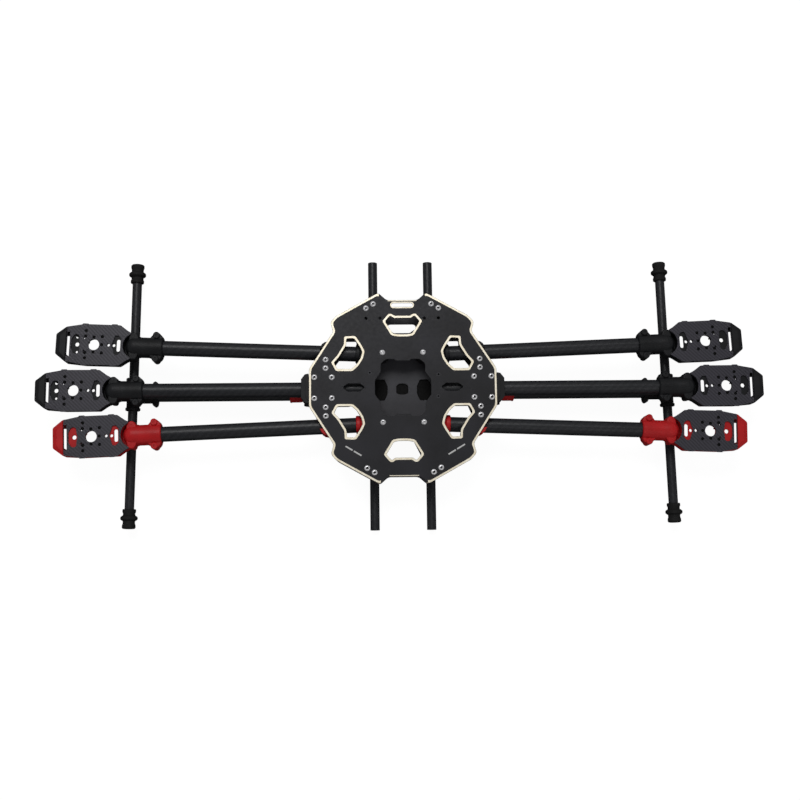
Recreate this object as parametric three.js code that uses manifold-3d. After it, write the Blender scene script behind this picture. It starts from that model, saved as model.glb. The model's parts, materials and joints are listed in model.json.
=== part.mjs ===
// Folding six-arm drone frame: two hub plates, six tube arms, retracting legs and two payload rails.
// Millimetres, +Z up. Origin on the ground under the hub's centre, +Y is the nose, +X the right-hand side.
// The four outer arms stand at their folded stop and both legs are retracted.

import * as THREE from 'three';
import { mergeVertices } from 'three/addons/utils/BufferGeometryUtils.js';
import Module from 'manifold-3d';

const wasm = await Module();
wasm.setup();

// ---- Driving dimensions ------------------------------------------------------------------------------

const WHEELBASE = 695;          // motor centre to opposite motor centre, arms unfolded
const PIVOT_RADIUS = 43;        // hub centre to an arm's fold pivot
const MIDDLE_REACH = 346;       // hub centre to a middle arm's motor centre
const ARM_SPREAD = 60;          // degrees between neighbouring arms in flight
const FOLD_ANGLE = 2.17;        // degrees between a folded arm and the middle arm
const TUBE_R = 8;               // arm tube and leg tube
const TUBE_WALL = 1;
const RAIL_R = 5;               // payload rail and skid tube
const RAIL_WALL = 1;
const GAP = 0.3;                // clearance between a tube and what it sits in

const PLATE = 2;                // hub plate thickness
const BAY = 24;                 // clear height between the hub plates
const LOWER_PLATE_Z = 28.5;     // underside of the lower hub plate

const RAIL_Z = 7.5;
const RAIL_X = 30.5;
const RAIL_LENGTH = 296;
const HANGER_Y = 62;

const LEG_Z = 19.5;             // axis of the retracted leg
const LEG_PIVOT_X = 99;
const LEG_TEE_X = 289.5;
const SKID_LENGTH = 276;        // skid tube, without its feet
const SKID_TOE = 0.75;          // degrees that each skid toes out towards the tail

const ARM_Z = LOWER_PLATE_Z + PLATE + BAY / 2;
const UPPER_PLATE_Z = LOWER_PLATE_Z + PLATE + BAY;
const HALF_BAY = BAY / 2;
const SIDES = 20;               // facets round an arm tube
const SMALL_SIDES = 12;         // facets round a rail, skid or small boss

// ---- Materials ---------------------------------------------------------------------------------------

const finish = {
  board: { color: 0x17171a, roughness: 0.45, metalness: 0.0 },
  carbon: { color: 0x24242a, roughness: 0.35, metalness: 0.0 },
  tube: { color: 0x1b1c1f, roughness: 0.4, metalness: 0.0 },
  black: { color: 0x141416, roughness: 0.55, metalness: 0.0 },
  red: { color: 0xa8191d, roughness: 0.45, metalness: 0.0 },
  rubber: { color: 0x0d0d0e, roughness: 0.85, metalness: 0.0 },
  steel: { color: 0xc4c6ca, roughness: 0.3, metalness: 1.0 },
};

// ---- Solids ------------------------------------------------------------------------------------------

function solid(geometry) {
  const bare = geometry.clone();
  bare.deleteAttribute('normal');
  bare.deleteAttribute('uv');
  const merged = mergeVertices(bare, 1e-4);
  return new wasm.Manifold(new wasm.Mesh({
    numProp: 3,
    vertProperties: new Float32Array(merged.attributes.position.array),
    triVerts: new Uint32Array(merged.index.array),
  }));
}

function geometryOf(manifold) {
  const mesh = manifold.getMesh();
  const geometry = new THREE.BufferGeometry();
  geometry.setAttribute('position', new THREE.BufferAttribute(new Float32Array(mesh.vertProperties), 3));
  geometry.setIndex(new THREE.BufferAttribute(new Uint32Array(mesh.triVerts), 1));
  geometry.computeVertexNormals();
  return geometry;
}

function join(...geometries) {
  return geometryOf(geometries.map(solid).reduce((whole, piece) => whole.add(piece)));
}

function cut(geometry, ...tools) {
  return geometryOf(tools.map(solid).reduce((whole, tool) => whole.subtract(tool), solid(geometry)));
}

function box(x0, x1, y0, y1, z0, z1) {
  return new THREE.BoxGeometry(x1 - x0, y1 - y0, z1 - z0)
    .translate((x0 + x1) / 2, (y0 + y1) / 2, (z0 + z1) / 2);
}

// A cylinder along 'x', 'y' or 'z' from a to b on that axis, its centre line at the two other coordinates.
function rod(axis, radius, a, b, first = 0, second = 0, sides = SMALL_SIDES) {
  const cylinder = new THREE.CylinderGeometry(radius, radius, b - a, sides);
  const middle = (a + b) / 2;
  if (axis === 'x') return cylinder.rotateZ(-Math.PI / 2).translate(middle, first, second);
  if (axis === 'y') return cylinder.translate(first, middle, second);
  return cylinder.rotateX(Math.PI / 2).translate(first, second, middle);
}

// A turned piece from the corners [along, radius] of its half section, its axis laid along X.
function turned(profile, sides = SIDES) {
  const section = profile.map(([along, radius]) => new THREE.Vector2(radius, along));
  if (THREE.ShapeUtils.isClockWise(section)) section.reverse();
  return new THREE.LatheGeometry([...section, section[0]], sides).rotateZ(-Math.PI / 2);
}

function hollowTube(outer, wall, a, b, sides = SIDES) {
  const inner = outer - wall;
  return turned([[a, inner], [b, inner], [b, outer], [a, outer]], sides);
}

// ---- Outlines ----------------------------------------------------------------------------------------

// Rounds each corner of a closed outline by up to the given radius.
function rounded(points, radius, steps = 2) {
  const result = [];
  points.forEach((point, i) => {
    const corner = new THREE.Vector2(...point);
    const before = new THREE.Vector2(...points.at(i - 1)).sub(corner);
    const after = new THREE.Vector2(...points[(i + 1) % points.length]).sub(corner);
    const reach = Math.min(radius, before.length() * 0.45, after.length() * 0.45);
    const from = corner.clone().add(before.setLength(reach));
    const to = corner.clone().add(after.setLength(reach));
    const bend = new THREE.QuadraticBezierCurve(from, corner, to);
    bend.getPoints(steps).forEach((p) => result.push([p.x, p.y]));
  });
  return result;
}

const mirrorX = (points) => points.map(([x, y]) => [-x, y]);
const mirrorY = (points) => points.map(([x, y]) => [x, -y]);

// An outline symmetric about both axes, from its first quadrant's corners running from +X to +Y.
function fourQuadrants(quarter) {
  const upper = [...quarter, ...mirrorX(quarter).reverse()];
  return [...upper, ...mirrorY(upper).reverse()];
}

function circle(x, y, radius, sides = 10) {
  return Array.from({ length: sides }, (_, i) => {
    const angle = (2 * Math.PI * i) / sides;
    return [x + radius * Math.cos(angle), y + radius * Math.sin(angle)];
  });
}

function stadium(x, y, halfLength, halfWidth, steps = 4) {
  const points = [];
  for (const side of [1, -1]) {
    for (let i = 0; i <= steps; i += 1) {
      const angle = side * Math.PI / 2 - (Math.PI * i) / steps;
      const along = side * (halfLength - halfWidth);
      points.push([x + along + halfWidth * Math.cos(angle), y + halfWidth * Math.sin(angle)]);
    }
  }
  return points;
}

function slab(outline, holes, z0, z1) {
  const vectors = (points) => points.map(([x, y]) => new THREE.Vector2(x, y));
  const shape = new THREE.Shape(vectors(outline));
  shape.holes = holes.map((hole) => new THREE.Path(vectors(hole)));
  return new THREE.ExtrudeGeometry(shape, { depth: z1 - z0, bevelEnabled: false }).translate(0, 0, z0);
}

// ---- Placing -----------------------------------------------------------------------------------------

const drone = new THREE.Group();
drone.name = 'folding_hexacopter_frame';

function part(name, look, geometry, parent = drone) {
  const mesh = new THREE.Mesh(geometry, new THREE.MeshStandardMaterial(finish[look]));
  mesh.name = name;
  parent.add(mesh);
  return mesh;
}

const radians = (degrees) => (degrees * Math.PI) / 180;
const pivotX = PIVOT_RADIUS * Math.cos(radians(ARM_SPREAD));
const pivotY = PIVOT_RADIUS * Math.sin(radians(ARM_SPREAD));
const armLength = WHEELBASE / 2 - PIVOT_RADIUS;      // fold pivot to motor centre

const corners = [
  { name: 'front_left', sx: -1, sy: 1, plastic: 'black' },
  { name: 'front_right', sx: 1, sy: 1, plastic: 'black' },
  { name: 'rear_left', sx: -1, sy: -1, plastic: 'red' },
  { name: 'rear_right', sx: 1, sy: -1, plastic: 'red' },
];
const flanks = [{ name: 'left', sx: -1 }, { name: 'right', sx: 1 }];

// ---- Hub plates --------------------------------------------------------------------------------------

const HALF_WIDTH = 99.1;
const EDGE_Y = 94;
const LOWER_PLATE_RATIO = 0.987;        // the lower plate is this much smaller in outline
const hubOutline = rounded(fourQuadrants([
  [HALF_WIDTH, 20], [73.3, 60.2], [76.4, 70], [70.6, 76.8], [25.3, 102], [16.4, EDGE_Y],
]), 3, 1);
const lowerOutline = hubOutline.map(([x, y]) => [x * LOWER_PLATE_RATIO, y * LOWER_PLATE_RATIO]);

const sideWindow = rounded([
  [54.2, 19.9], [69.2, 19.9], [72.9, 26.7], [67.3, 32.9], [59.8, 45.3], [59.5, 52.6], [51.3, 52.9],
  [45.6, 44.2], [42.7, 38.4], [44.5, 31.6], [48.9, 24.7],
], 1.5, 1);

// Windows of the lower plate, under those of the upper one: the front pair reaches less far in.
const lowerFrontWindow = rounded([
  [49, 22], [68, 18], [72.9, 26.7], [67.3, 34], [61.8, 46], [61.3, 54.5], [49, 54.5],
], 1.5, 1);
const lowerRearWindow = rounded([
  [52.5, 15.8], [70, 15.8], [74.6, 26.5], [69, 33.8], [61.5, 46], [61.2, 54.5], [50.4, 54.7],
  [43.9, 45.2], [40.9, 38.6], [42.8, 31], [47.6, 23.6],
], 1.5, 1);

// A window between the two front or two rear arms, from the corners of its right-hand half.
const endWindow = (half) => rounded([...half, ...mirrorX(half).reverse()], 1.5, 1);
const upperEndWindow = endWindow([
  [5, 56.8], [10.4, 57.8], [18.4, 71], [13.4, 76.7], [12.2, 76.7], [9.4, 74.5],
]);
const lowerFrontEndWindow = endWindow([[8.6, 63.6], [15.2, 68], [15.5, 71.5], [13, 73.3]]);
const lowerRearEndWindow = endWindow([
  [5, 52.4], [11, 53.5], [19.5, 71], [13.4, 77.5], [12.2, 77.5], [9.4, 75.3],
]);

const strapSlot = stadium(0, 88.6, 11.6, 2.4);
const pivotHoles = corners.map(({ sx, sy }) => circle(sx * pivotX, sy * pivotY, 2.4, 10));
const tieWindow = fourQuadrants([[11, 0.8], [6.5, 4.3]]);

// Opening over the flight electronics: wide at the middle, with a small tongue on each end edge.
const centreOpening = fourQuadrants([[29.7, 8], [23.5, 16.2], [23.5, 25.2], [18, 30.2]]);

// Pockets in the lower plate's upper face, closed from below by a cover.
const lowerCentreHole = [[6.4, -2.4], [6.4, 5.8], [3.2, 8.1], [-3.2, 8.1], [-6.4, 5.8], [-6.4, -2.4],
  [-3.2, -3.9], [3.2, -3.9]];
const lowerSideHole = [[15.8, -3], [15.8, 5.2], [19, 12.5], [28, 12.5], [32, 6], [32, -4],
  [28, -10.3], [19, -10.3]];
const COVER_HALF_X = 36;
const COVER_HALF_Y = 14.5;
const COVER = 1.2;
const COVER_LAP = 0.2;          // how far the cover and the plate run into each other

const inFourQuadrants = (points) => [points, mirrorX(points), mirrorY(points), mirrorY(mirrorX(points))];
const shifted = (points, dx) => points.map(([x, y]) => [x + dx, y]);

const smallHoles = [[38.5, 74.4], [23.6, 74.4]].flatMap(([x, y]) => (
  [circle(x, y, 1.6, 6), circle(-x, y, 1.6, 6)]));

part('top_plate', 'board', slab(hubOutline, [
  ...inFourQuadrants(sideWindow), upperEndWindow, mirrorY(upperEndWindow), strapSlot, centreOpening,
  shifted(tieWindow, 52), shifted(tieWindow, -52), ...pivotHoles, ...smallHoles,
], UPPER_PLATE_Z, UPPER_PLATE_Z + PLATE));

const lowerPlate = slab(lowerOutline, [
  lowerFrontWindow, mirrorX(lowerFrontWindow), mirrorY(lowerRearWindow), mirrorY(mirrorX(lowerRearWindow)),
  lowerFrontEndWindow, mirrorY(lowerRearEndWindow), lowerCentreHole, lowerSideHole,
  mirrorX(lowerSideHole), ...pivotHoles,
], LOWER_PLATE_Z, LOWER_PLATE_Z + PLATE);
const cover = box(-COVER_HALF_X, COVER_HALF_X, -COVER_HALF_Y, COVER_HALF_Y,
  LOWER_PLATE_Z + COVER_LAP - COVER, LOWER_PLATE_Z + COVER_LAP);
part('bottom_plate', 'board', join(lowerPlate, cover));

// ---- Motor mounts: v runs along the arm from the motor centre, outwards ------------------------------

const BASE_TOP = 8;             // heights above the arm's axis
const BASE_BOTTOM = -5;
const TRAY_TOP = 2;
const CARBON = 1.8;
const SHAFT_HOLE_R = 5.85;
const BARREL_R = 11.4;
const NOSE_V = -31.7;
const BARREL_END_V = -72.4;
const CAP_V = 29;

const capOutline = [[40, 10.6], [CAP_V, 19.2]];
const mirroredOutline = (half) => [...half, ...mirrorY(half).reverse()];
const flankOutline = [[CAP_V, 19.2], [9, 21.5], [-27, 21.5], [-35, 15.5], [-41, 12.6]];
const outerCrescent = [[15.4, 9.5], [18, 10.8], [20.8, 10], [23.4, 5.5], [23.4, -5.5], [20.8, -10],
  [18, -10.8], [15.4, -9.5]];
const innerCrescent = [[-28.4, 7.5], [-25.5, 10.6], [-22, 10.2], [-19.2, 5], [-19.2, -5], [-22, -10.2],
  [-25.5, -10.6], [-28.4, -7.5]];
const wireSlot = stadium(0, 0, 6.6, 2, 2).map(([x, y]) => [y - 25.6, x]);
const beltSlot = [[28.6, -13], [28.6, 13], [25.2, 13], [25.2, -13]];

function motorPlate() {
  const nose = [[-31, 12.4], [-29.6, 9], [-29.6, 0]];
  const outline = mirroredOutline([[25.2, 18.4], [9, 21], [-27, 21], [-34.6, 15], [-39.5, 12.4], ...nose]
    .slice(0, -1));
  return slab(rounded(outline, 1.5, 1), [
    circle(0, 0, SHAFT_HOLE_R, 12), outerCrescent, innerCrescent, circle(-15.4, 0, 1.6, 6),
  ], BASE_TOP, BASE_TOP + CARBON);
}

function motorMount() {
  const tray = slab(mirroredOutline([capOutline[0], ...flankOutline]), [
    circle(0, 0, SHAFT_HOLE_R + GAP, 12), wireSlot, beltSlot, circle(-15.4, 0, 2, 6),
    circle(17, 0, 2.2, 6),
  ], BASE_BOTTOM, BASE_TOP);
  const barrel = turned([
    [BARREL_END_V, 0], [BARREL_END_V, BARREL_R], [NOSE_V - 5, BARREL_R], [NOSE_V, BARREL_R - 4],
    [NOSE_V, 0],
  ]);
  const bosses = [-42, -66.5].flatMap((v) => [1, -1].map((side) => (
    rod('z', 3.9, -9, 9, v, side * 12.4, 8))));
  const webs = [-42, -66.5].map((v) => box(v - 2.4, v + 2.4, -12.4, 12.4, -6, 6));
  const rim = slab(mirroredOutline(capOutline), [], BASE_TOP - 1, BASE_TOP + CARBON);
  const bore = rod('x', TUBE_R + GAP, BARREL_END_V - 1, NOSE_V - 3, 0, 0, SIDES);
  const pocket = box(-28, 28.6, -16, 16, BASE_BOTTOM - 1, BASE_TOP - TRAY_TOP);
  const capPocket = box(28, 34, -11, 11, BASE_BOTTOM - 1, BASE_TOP - TRAY_TOP);
  return cut(join(cut(tray, pocket, capPocket), rim, barrel, ...webs, ...bosses), bore);
}

function armTube(a, b) {
  return hollowTube(TUBE_R, TUBE_WALL, a, b);
}

// Everything past the tube's root, in a group whose X runs along the arm and whose origin is its axis.
function armEnd(name, plastic, group, motorX, tubeStart) {
  part(`${name}_arm_tube`, 'tube', armTube(tubeStart, motorX + NOSE_V - 3.6), group);
  part(`${name}_motor_mount`, plastic, motorMount().translate(motorX, 0, 0), group);
  part(`${name}_motor_plate`, 'carbon', motorPlate().translate(motorX, 0, 0), group);
}

function armGroup(x, y, direction) {
  const group = new THREE.Group();
  group.position.set(x, y, ARM_Z);
  group.rotation.z = radians(direction);
  drone.add(group);
  return group;
}

// ---- Folding arms ------------------------------------------------------------------------------------

const EYE_R = 7.6;
const EYE_HALF = HALF_BAY - 0.3;
const COLLAR_R = 9.4;
const COLLAR_END = 28.4;
const TUBE_SOCKET = 13;

function armRoot() {
  const eye = rod('z', EYE_R, -EYE_HALF, EYE_HALF, 0, 0, 16);
  const neck = box(0, 14, -6.5, 6.5, -8.8, 8.8);
  const socket = turned([
    [9, 0], [9, 9], [24.4, 9], [24.4, COLLAR_R + 0.4], [COLLAR_END, COLLAR_R + 0.4], [COLLAR_END, 0],
  ]);
  const bolt = rod('z', 2.4, -HALF_BAY, HALF_BAY, 0, 0, 10);
  const bore = rod('x', TUBE_R + GAP, TUBE_SOCKET - 0.3, COLLAR_END + 1, 0, 0, SIDES);
  return cut(join(eye, neck, socket), bolt, bore);
}

function pivotBolt() {
  const shank = rod('z', 2, LOWER_PLATE_Z - 4, UPPER_PLATE_Z + PLATE + 0.5, 0, 0, 10);
  const head = rod('z', 3, UPPER_PLATE_Z + PLATE, UPPER_PLATE_Z + PLATE + 2, 0, 0, 10);
  const nut = rod('z', 4, LOWER_PLATE_Z - 4, LOWER_PLATE_Z, 0, 0, 6);
  return join(shank, head, nut);
}

corners.forEach(({ name, sx, sy, plastic }) => {
  const direction = sx > 0 ? sy * FOLD_ANGLE : 180 - sy * FOLD_ANGLE;
  const group = armGroup(sx * pivotX, sy * pivotY, direction);
  part(`${name}_arm_root`, plastic, armRoot(), group);
  armEnd(name, plastic, group, armLength, TUBE_SOCKET);
  part(`${name}_pivot_bolt`, 'steel', pivotBolt().translate(sx * pivotX, sy * pivotY, 0));
});

// ---- Catches that hold a folding arm at each end of its swing ----------------------------------------

const SLOT_HALF = TUBE_R + GAP;

// The block stands between the plates; the tube enters its slot from the open side.
function foldClip(sx, sy) {
  const outline = rounded([
    [76.5, 17.4], [89, 17.4], [92.8, 30.5], [89.6, 40], [84.5, 49], [76, 50.5], [73.5, 48.6],
    [73.5, 33], [76.5, 28],
  ], 2, 1).map(([x, y]) => [sx * x, sy * y]);
  const block = slab(outline, [], LOWER_PLATE_Z + PLATE, UPPER_PLATE_Z);
  const reach = 30;
  const slot = box(0, 100, -SLOT_HALF, reach, -SLOT_HALF, SLOT_HALF)
    .rotateZ(radians(FOLD_ANGLE)).translate(pivotX, pivotY, ARM_Z);
  if (sx < 0) slot.rotateY(Math.PI).translate(0, 0, 2 * ARM_Z);
  if (sy < 0) slot.rotateX(Math.PI).translate(0, 0, 2 * ARM_Z);
  return cut(block, slot);
}

const LOCK_START = 85.5;        // along the arm's flight line, from the hub centre
const LOCK_END = 97;

function flightLock(sx, sy) {
  const outline = rounded([
    [LOCK_START, -22.5], [LOCK_END, -22.5], [LOCK_END, 9.6], [LOCK_START, 9.6],
  ], 2.5, 1);
  const block = slab(outline, [], LOWER_PLATE_Z + PLATE, UPPER_PLATE_Z);
  const slot = box(LOCK_START - 1, LOCK_END + 1, -SLOT_HALF, 30, -SLOT_HALF, SLOT_HALF)
    .translate(0, 0, ARM_Z);
  const lock = cut(block, slot);
  // The slot opens to the side that the arm swings in from; its back wall faces the nose-to-tail centre line.
  if (sx * sy > 0) lock.rotateX(Math.PI).translate(0, 0, 2 * ARM_Z);
  return lock.rotateZ(radians(sx > 0 ? sy * ARM_SPREAD : 180 - sy * ARM_SPREAD));
}

corners.forEach(({ name, sx, sy, plastic }) => {
  part(`${name}_fold_clip`, plastic, foldClip(sx, sy));
  part(`${name}_flight_lock`, plastic, flightLock(sx, sy));
});

// ---- Middle arms, fixed between the plates -----------------------------------------------------------

const MIDDLE_TUBE_START = 38;

function fixedClamp(sx) {
  const body = slab(rounded(fourQuadrants([[18, 10], [12, 15.8]]).map(([x, y]) => [x + 85, y]), 2, 1), [],
    LOWER_PLATE_Z + PLATE, UPPER_PLATE_Z);
  const flange = slab(mirroredOutline([[107.6, 9.8], [103.6, 15], [99.8, 15.8]]), [],
    LOWER_PLATE_Z + PLATE + 1, UPPER_PLATE_Z - 1);
  const bore = rod('x', TUBE_R + GAP, 60, 110, 0, ARM_Z, SIDES);
  return cut(join(body, flange), bore).rotateZ(sx < 0 ? Math.PI : 0);
}

flanks.forEach(({ name, sx }) => {
  const group = armGroup(0, 0, sx > 0 ? 0 : 180);
  armEnd(`middle_${name}`, 'black', group, MIDDLE_REACH, MIDDLE_TUBE_START);
  part(`middle_${name}_clamp`, 'black', fixedClamp(sx));
});

// ---- Retracting legs ---------------------------------------------------------------------------------

const CHEEK_IN = 11;
const CHEEK_OUT = 14;
const CHEEK_R = 7;
const LEG_EYE_R = 8;
const HOLDER_R = 10;
const HOLDER_END = 121;
const LEG_START = LEG_PIVOT_X + 6;
const PIN_R = 2;

function retractHousing() {
  const body = box(56, LEG_PIVOT_X - 12.5, -CHEEK_OUT, CHEEK_OUT, LEG_Z - 10, LOWER_PLATE_Z);
  const cheeks = [1, -1].flatMap((side) => {
    const middle = side * (CHEEK_IN + CHEEK_OUT) / 2;
    const half = (CHEEK_OUT - CHEEK_IN) / 2;
    return [
      box(LEG_PIVOT_X - 15, LEG_PIVOT_X, middle - half, middle + half, LEG_Z - CHEEK_R, LEG_Z + 8.6),
      rod('y', CHEEK_R, middle - half, middle + half, LEG_PIVOT_X, LEG_Z, 16),
    ];
  });
  const pinHole = rod('y', PIN_R + GAP, -20, 20, LEG_PIVOT_X, LEG_Z, 12);
  return cut(join(body, ...cheeks), pinHole);
}

function legHolder() {
  const half = CHEEK_IN - GAP;
  const eye = rod('y', LEG_EYE_R, -half, half, LEG_PIVOT_X, LEG_Z, 16);
  const socket = turned([
    [LEG_PIVOT_X, 0], [LEG_PIVOT_X, LEG_EYE_R - 0.2], [HOLDER_END - 12, HOLDER_R], [HOLDER_END, HOLDER_R],
    [HOLDER_END, 0],
  ]).translate(0, 0, LEG_Z);
  const bore = rod('x', TUBE_R + GAP, LEG_START - 0.3, HOLDER_END + 1, 0, LEG_Z, SIDES);
  const pinHole = rod('y', PIN_R + 0.1, -20, 20, LEG_PIVOT_X, LEG_Z, 12);
  return cut(join(eye, socket), bore, pinHole);
}

const TEE_R = 6.9;
const TEE_HALF = 17.6;
const LEG_END = LEG_TEE_X - 9;

function legTee() {
  const sleeve = rod('y', TEE_R, -TEE_HALF, TEE_HALF, 0, 0, SMALL_SIDES)
    .rotateZ(radians(SKID_TOE)).translate(LEG_TEE_X, 0, LEG_Z);
  const rings = [1, -1].map((side) => (
    rod('y', TEE_R + 1, side * TEE_HALF - 3 * (side > 0), side * TEE_HALF + 3 * (side < 0), 0, 0)
      .rotateZ(radians(SKID_TOE)).translate(LEG_TEE_X, 0, LEG_Z)));
  const socket = rod('x', TUBE_R + 1.8, LEG_TEE_X - 26, LEG_TEE_X - 4, 0, LEG_Z, SIDES);
  const legBore = rod('x', TUBE_R + GAP, LEG_TEE_X - 30, LEG_END + 0.3, 0, LEG_Z, SIDES);
  const skidBore = rod('y', RAIL_R + GAP, -30, 30, 0, 0, SMALL_SIDES)
    .rotateZ(radians(SKID_TOE)).translate(LEG_TEE_X, 0, LEG_Z);
  return cut(join(sleeve, ...rings, socket), legBore, skidBore);
}

function skidTube() {
  return hollowTube(RAIL_R, RAIL_WALL, -SKID_LENGTH / 2, SKID_LENGTH / 2, SMALL_SIDES)
    .rotateZ(Math.PI / 2 + radians(SKID_TOE)).translate(LEG_TEE_X, 0, LEG_Z);
}

// A soft cap over a skid's end, with three ribs.
function skidFoot(end) {
  const start = SKID_LENGTH / 2 - 15;
  const seat = SKID_LENGTH / 2 + GAP;
  const ribs = [[0, 7.1], [3.5, 7.1], [4.5, 6.4], [6.5, 6.4], [8, 9], [11, 9], [12.5, 6.4],
    [15.5, 6.4], [17, 7], [20.6, 7]];
  const bore = RAIL_R + GAP;
  const cap = turned([
    [start, bore], ...ribs.map(([along, radius]) => [start + along, radius]),
    [start + 20.6, 0], [seat, 0], [seat, bore],
  ], SMALL_SIDES);
  return cap.rotateZ(end * Math.PI / 2 + radians(SKID_TOE)).translate(LEG_TEE_X, 0, LEG_Z);
}

flanks.forEach(({ name, sx }) => {
  const side = new THREE.Group();
  drone.add(side);
  const place = (geometry) => (sx > 0 ? geometry : mirrored(geometry));
  part(`${name}_retract_housing`, 'black', place(retractHousing()), side);
  part(`${name}_leg_pin`, 'steel', rod('y', PIN_R, -CHEEK_OUT, CHEEK_OUT, sx * LEG_PIVOT_X, LEG_Z, 12), side);
  part(`${name}_leg_holder`, 'red', place(legHolder()), side);
  part(`${name}_leg_tube`, 'tube', place(
    hollowTube(TUBE_R, TUBE_WALL, LEG_START, LEG_END).translate(0, 0, LEG_Z)), side);
  part(`${name}_leg_tee`, 'black', place(legTee()), side);
  part(`${name}_skid_tube`, 'tube', place(skidTube()), side);
  part(`${name}_front_foot`, 'rubber', place(skidFoot(1)), side);
  part(`${name}_rear_foot`, 'rubber', place(skidFoot(-1)), side);
});

// The left-hand twin of a right-hand solid.
function mirrored(geometry) {
  const twin = geometry.clone().scale(-1, 1, 1);
  const index = twin.index.array;
  for (let i = 0; i < index.length; i += 3) {
    [index[i], index[i + 1]] = [index[i + 1], index[i]];
  }
  return twin;
}

// ---- Payload rails -----------------------------------------------------------------------------------

function railHanger() {
  const section = [[7, LOWER_PLATE_Z], [-7, LOWER_PLATE_Z], [-7, 3], [-4, 0], [4, 0], [7, 3]];
  const block = slab(section, [circle(0, RAIL_Z, RAIL_R + GAP, SMALL_SIDES)], -8, 8);
  return block.rotateX(Math.PI / 2);
}

flanks.forEach(({ name, sx }) => {
  part(`${name}_rail`, 'tube', hollowTube(RAIL_R, RAIL_WALL, -RAIL_LENGTH / 2, RAIL_LENGTH / 2, SMALL_SIDES)
    .rotateZ(Math.PI / 2).translate(sx * RAIL_X, 0, RAIL_Z));
  [['front', 1], ['rear', -1]].forEach(([end, sy]) => {
    part(`${name}_${end}_rail_hanger`, 'black', railHanger().translate(sx * RAIL_X, sy * HANGER_Y, 0));
  });
});

export default drone;
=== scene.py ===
"""Looks of a folding hexacopter airframe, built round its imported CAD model.

Lengths are millimetres, +Z up, +Y is the nose, and the origin is on the ground under the hub's centre.
Every mesh is drawn in millimetres and put() brings it to metres. A motor mount is drawn in its arm's own
axes, with the origin at the motor centre on the tube's axis, X running outwards and Z up.
"""

import json
import math

import bmesh
import bpy
import numpy as np
from mathutils import Euler, Matrix, Vector
from mathutils.geometry import tessellate_polygon


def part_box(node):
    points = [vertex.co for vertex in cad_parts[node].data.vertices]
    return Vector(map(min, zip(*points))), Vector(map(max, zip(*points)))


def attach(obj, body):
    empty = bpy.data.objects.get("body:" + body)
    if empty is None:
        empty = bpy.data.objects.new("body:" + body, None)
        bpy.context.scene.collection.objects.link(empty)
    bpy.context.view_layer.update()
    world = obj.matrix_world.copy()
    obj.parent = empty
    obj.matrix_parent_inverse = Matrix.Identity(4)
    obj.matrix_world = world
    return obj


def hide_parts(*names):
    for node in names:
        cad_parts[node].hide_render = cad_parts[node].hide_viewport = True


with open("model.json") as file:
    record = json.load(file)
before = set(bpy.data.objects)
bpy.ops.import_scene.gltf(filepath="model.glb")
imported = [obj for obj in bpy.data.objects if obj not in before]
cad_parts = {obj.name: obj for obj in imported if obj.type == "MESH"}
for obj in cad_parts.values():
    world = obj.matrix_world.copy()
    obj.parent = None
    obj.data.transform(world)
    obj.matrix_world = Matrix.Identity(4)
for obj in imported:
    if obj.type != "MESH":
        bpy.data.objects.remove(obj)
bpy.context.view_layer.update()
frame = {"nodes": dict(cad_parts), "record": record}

MM = 0.001
HOME = {node: body for body, nodes in frame["record"]["behaviour"]["bodies"].items() for node in nodes}
FINISH = {row["node"]: row["material_slot"] for row in frame["record"]["subparts"]}


def add(thing):
    bpy.context.scene.collection.objects.link(thing)


# ---- Camera ----

CAMERA_PLACE = (-43.4, -191.3, 1228.3)
CAMERA_TURN = (8.637, -1.834, -0.758)  # degrees about X, Y and Z, from looking straight down
CAMERA_LENS = 50.75


def make_camera():
    data = bpy.data.cameras.new("camera")
    data.sensor_width = 36
    data.lens = CAMERA_LENS
    data.clip_start = 0.01
    camera = bpy.data.objects.new("camera", data)
    camera.location = Vector(CAMERA_PLACE) * MM
    camera.rotation_euler = Euler([math.radians(angle) for angle in CAMERA_TURN])
    add(camera)
    bpy.context.scene.camera = camera


# ---- Outlines ----

LONGEST_EASE = 0.45  # of a side, so the eased corners at its ends stay apart
SHARPEST_CORNER = 0.35  # keeps inset() from throwing a sharp corner too far


def rounded(points, radius, steps=5):
    """A closed outline with each corner eased by up to the given radius."""
    result = []
    count = len(points)
    for i, point in enumerate(points):
        corner = Vector(point)
        before = Vector(points[i - 1]) - corner
        after = Vector(points[(i + 1) % count]) - corner
        reach = min(radius, before.length * LONGEST_EASE, after.length * LONGEST_EASE)
        start = corner + before.normalized() * reach
        end = corner + after.normalized() * reach
        for k in range(steps + 1):
            t = k / steps
            result.append((1 - t) ** 2 * start + 2 * t * (1 - t) * corner + t ** 2 * end)
    return [tuple(point) for point in result]


def mirror_x(points):
    return [(-x, y) for x, y in points]


def mirror_y(points):
    return [(x, -y) for x, y in points]


def four_quadrants(quarter):
    """An outline symmetric about both axes, from its first quadrant's corners running from +X to +Y."""
    upper = list(quarter) + mirror_x(quarter)[::-1]
    return upper + mirror_y(upper)[::-1]


def two_sides(half):
    """An outline symmetric about the X axis, from its upper half's corners."""
    return list(half) + mirror_y(half)[::-1]


def circle(x, y, radius, sides=32):
    angles = [2 * math.pi * i / sides for i in range(sides)]
    return [(x + radius * math.cos(a), y + radius * math.sin(a)) for a in angles]


def stadium(x, y, half_length, half_width, steps=8):
    """A slot with round ends, its length along X."""
    points = []
    for side in (1, -1):
        for i in range(steps + 1):
            angle = side * math.pi / 2 - math.pi * i / steps
            along = side * (half_length - half_width)
            points.append((x + along + half_width * math.cos(angle), y + half_width * math.sin(angle)))
    return points


def area(points):
    """The area inside an outline, negative when it runs clockwise."""
    return sum(a[0] * b[1] - b[0] * a[1] for a, b in zip(points, points[1:] + points[:1])) / 2


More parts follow.
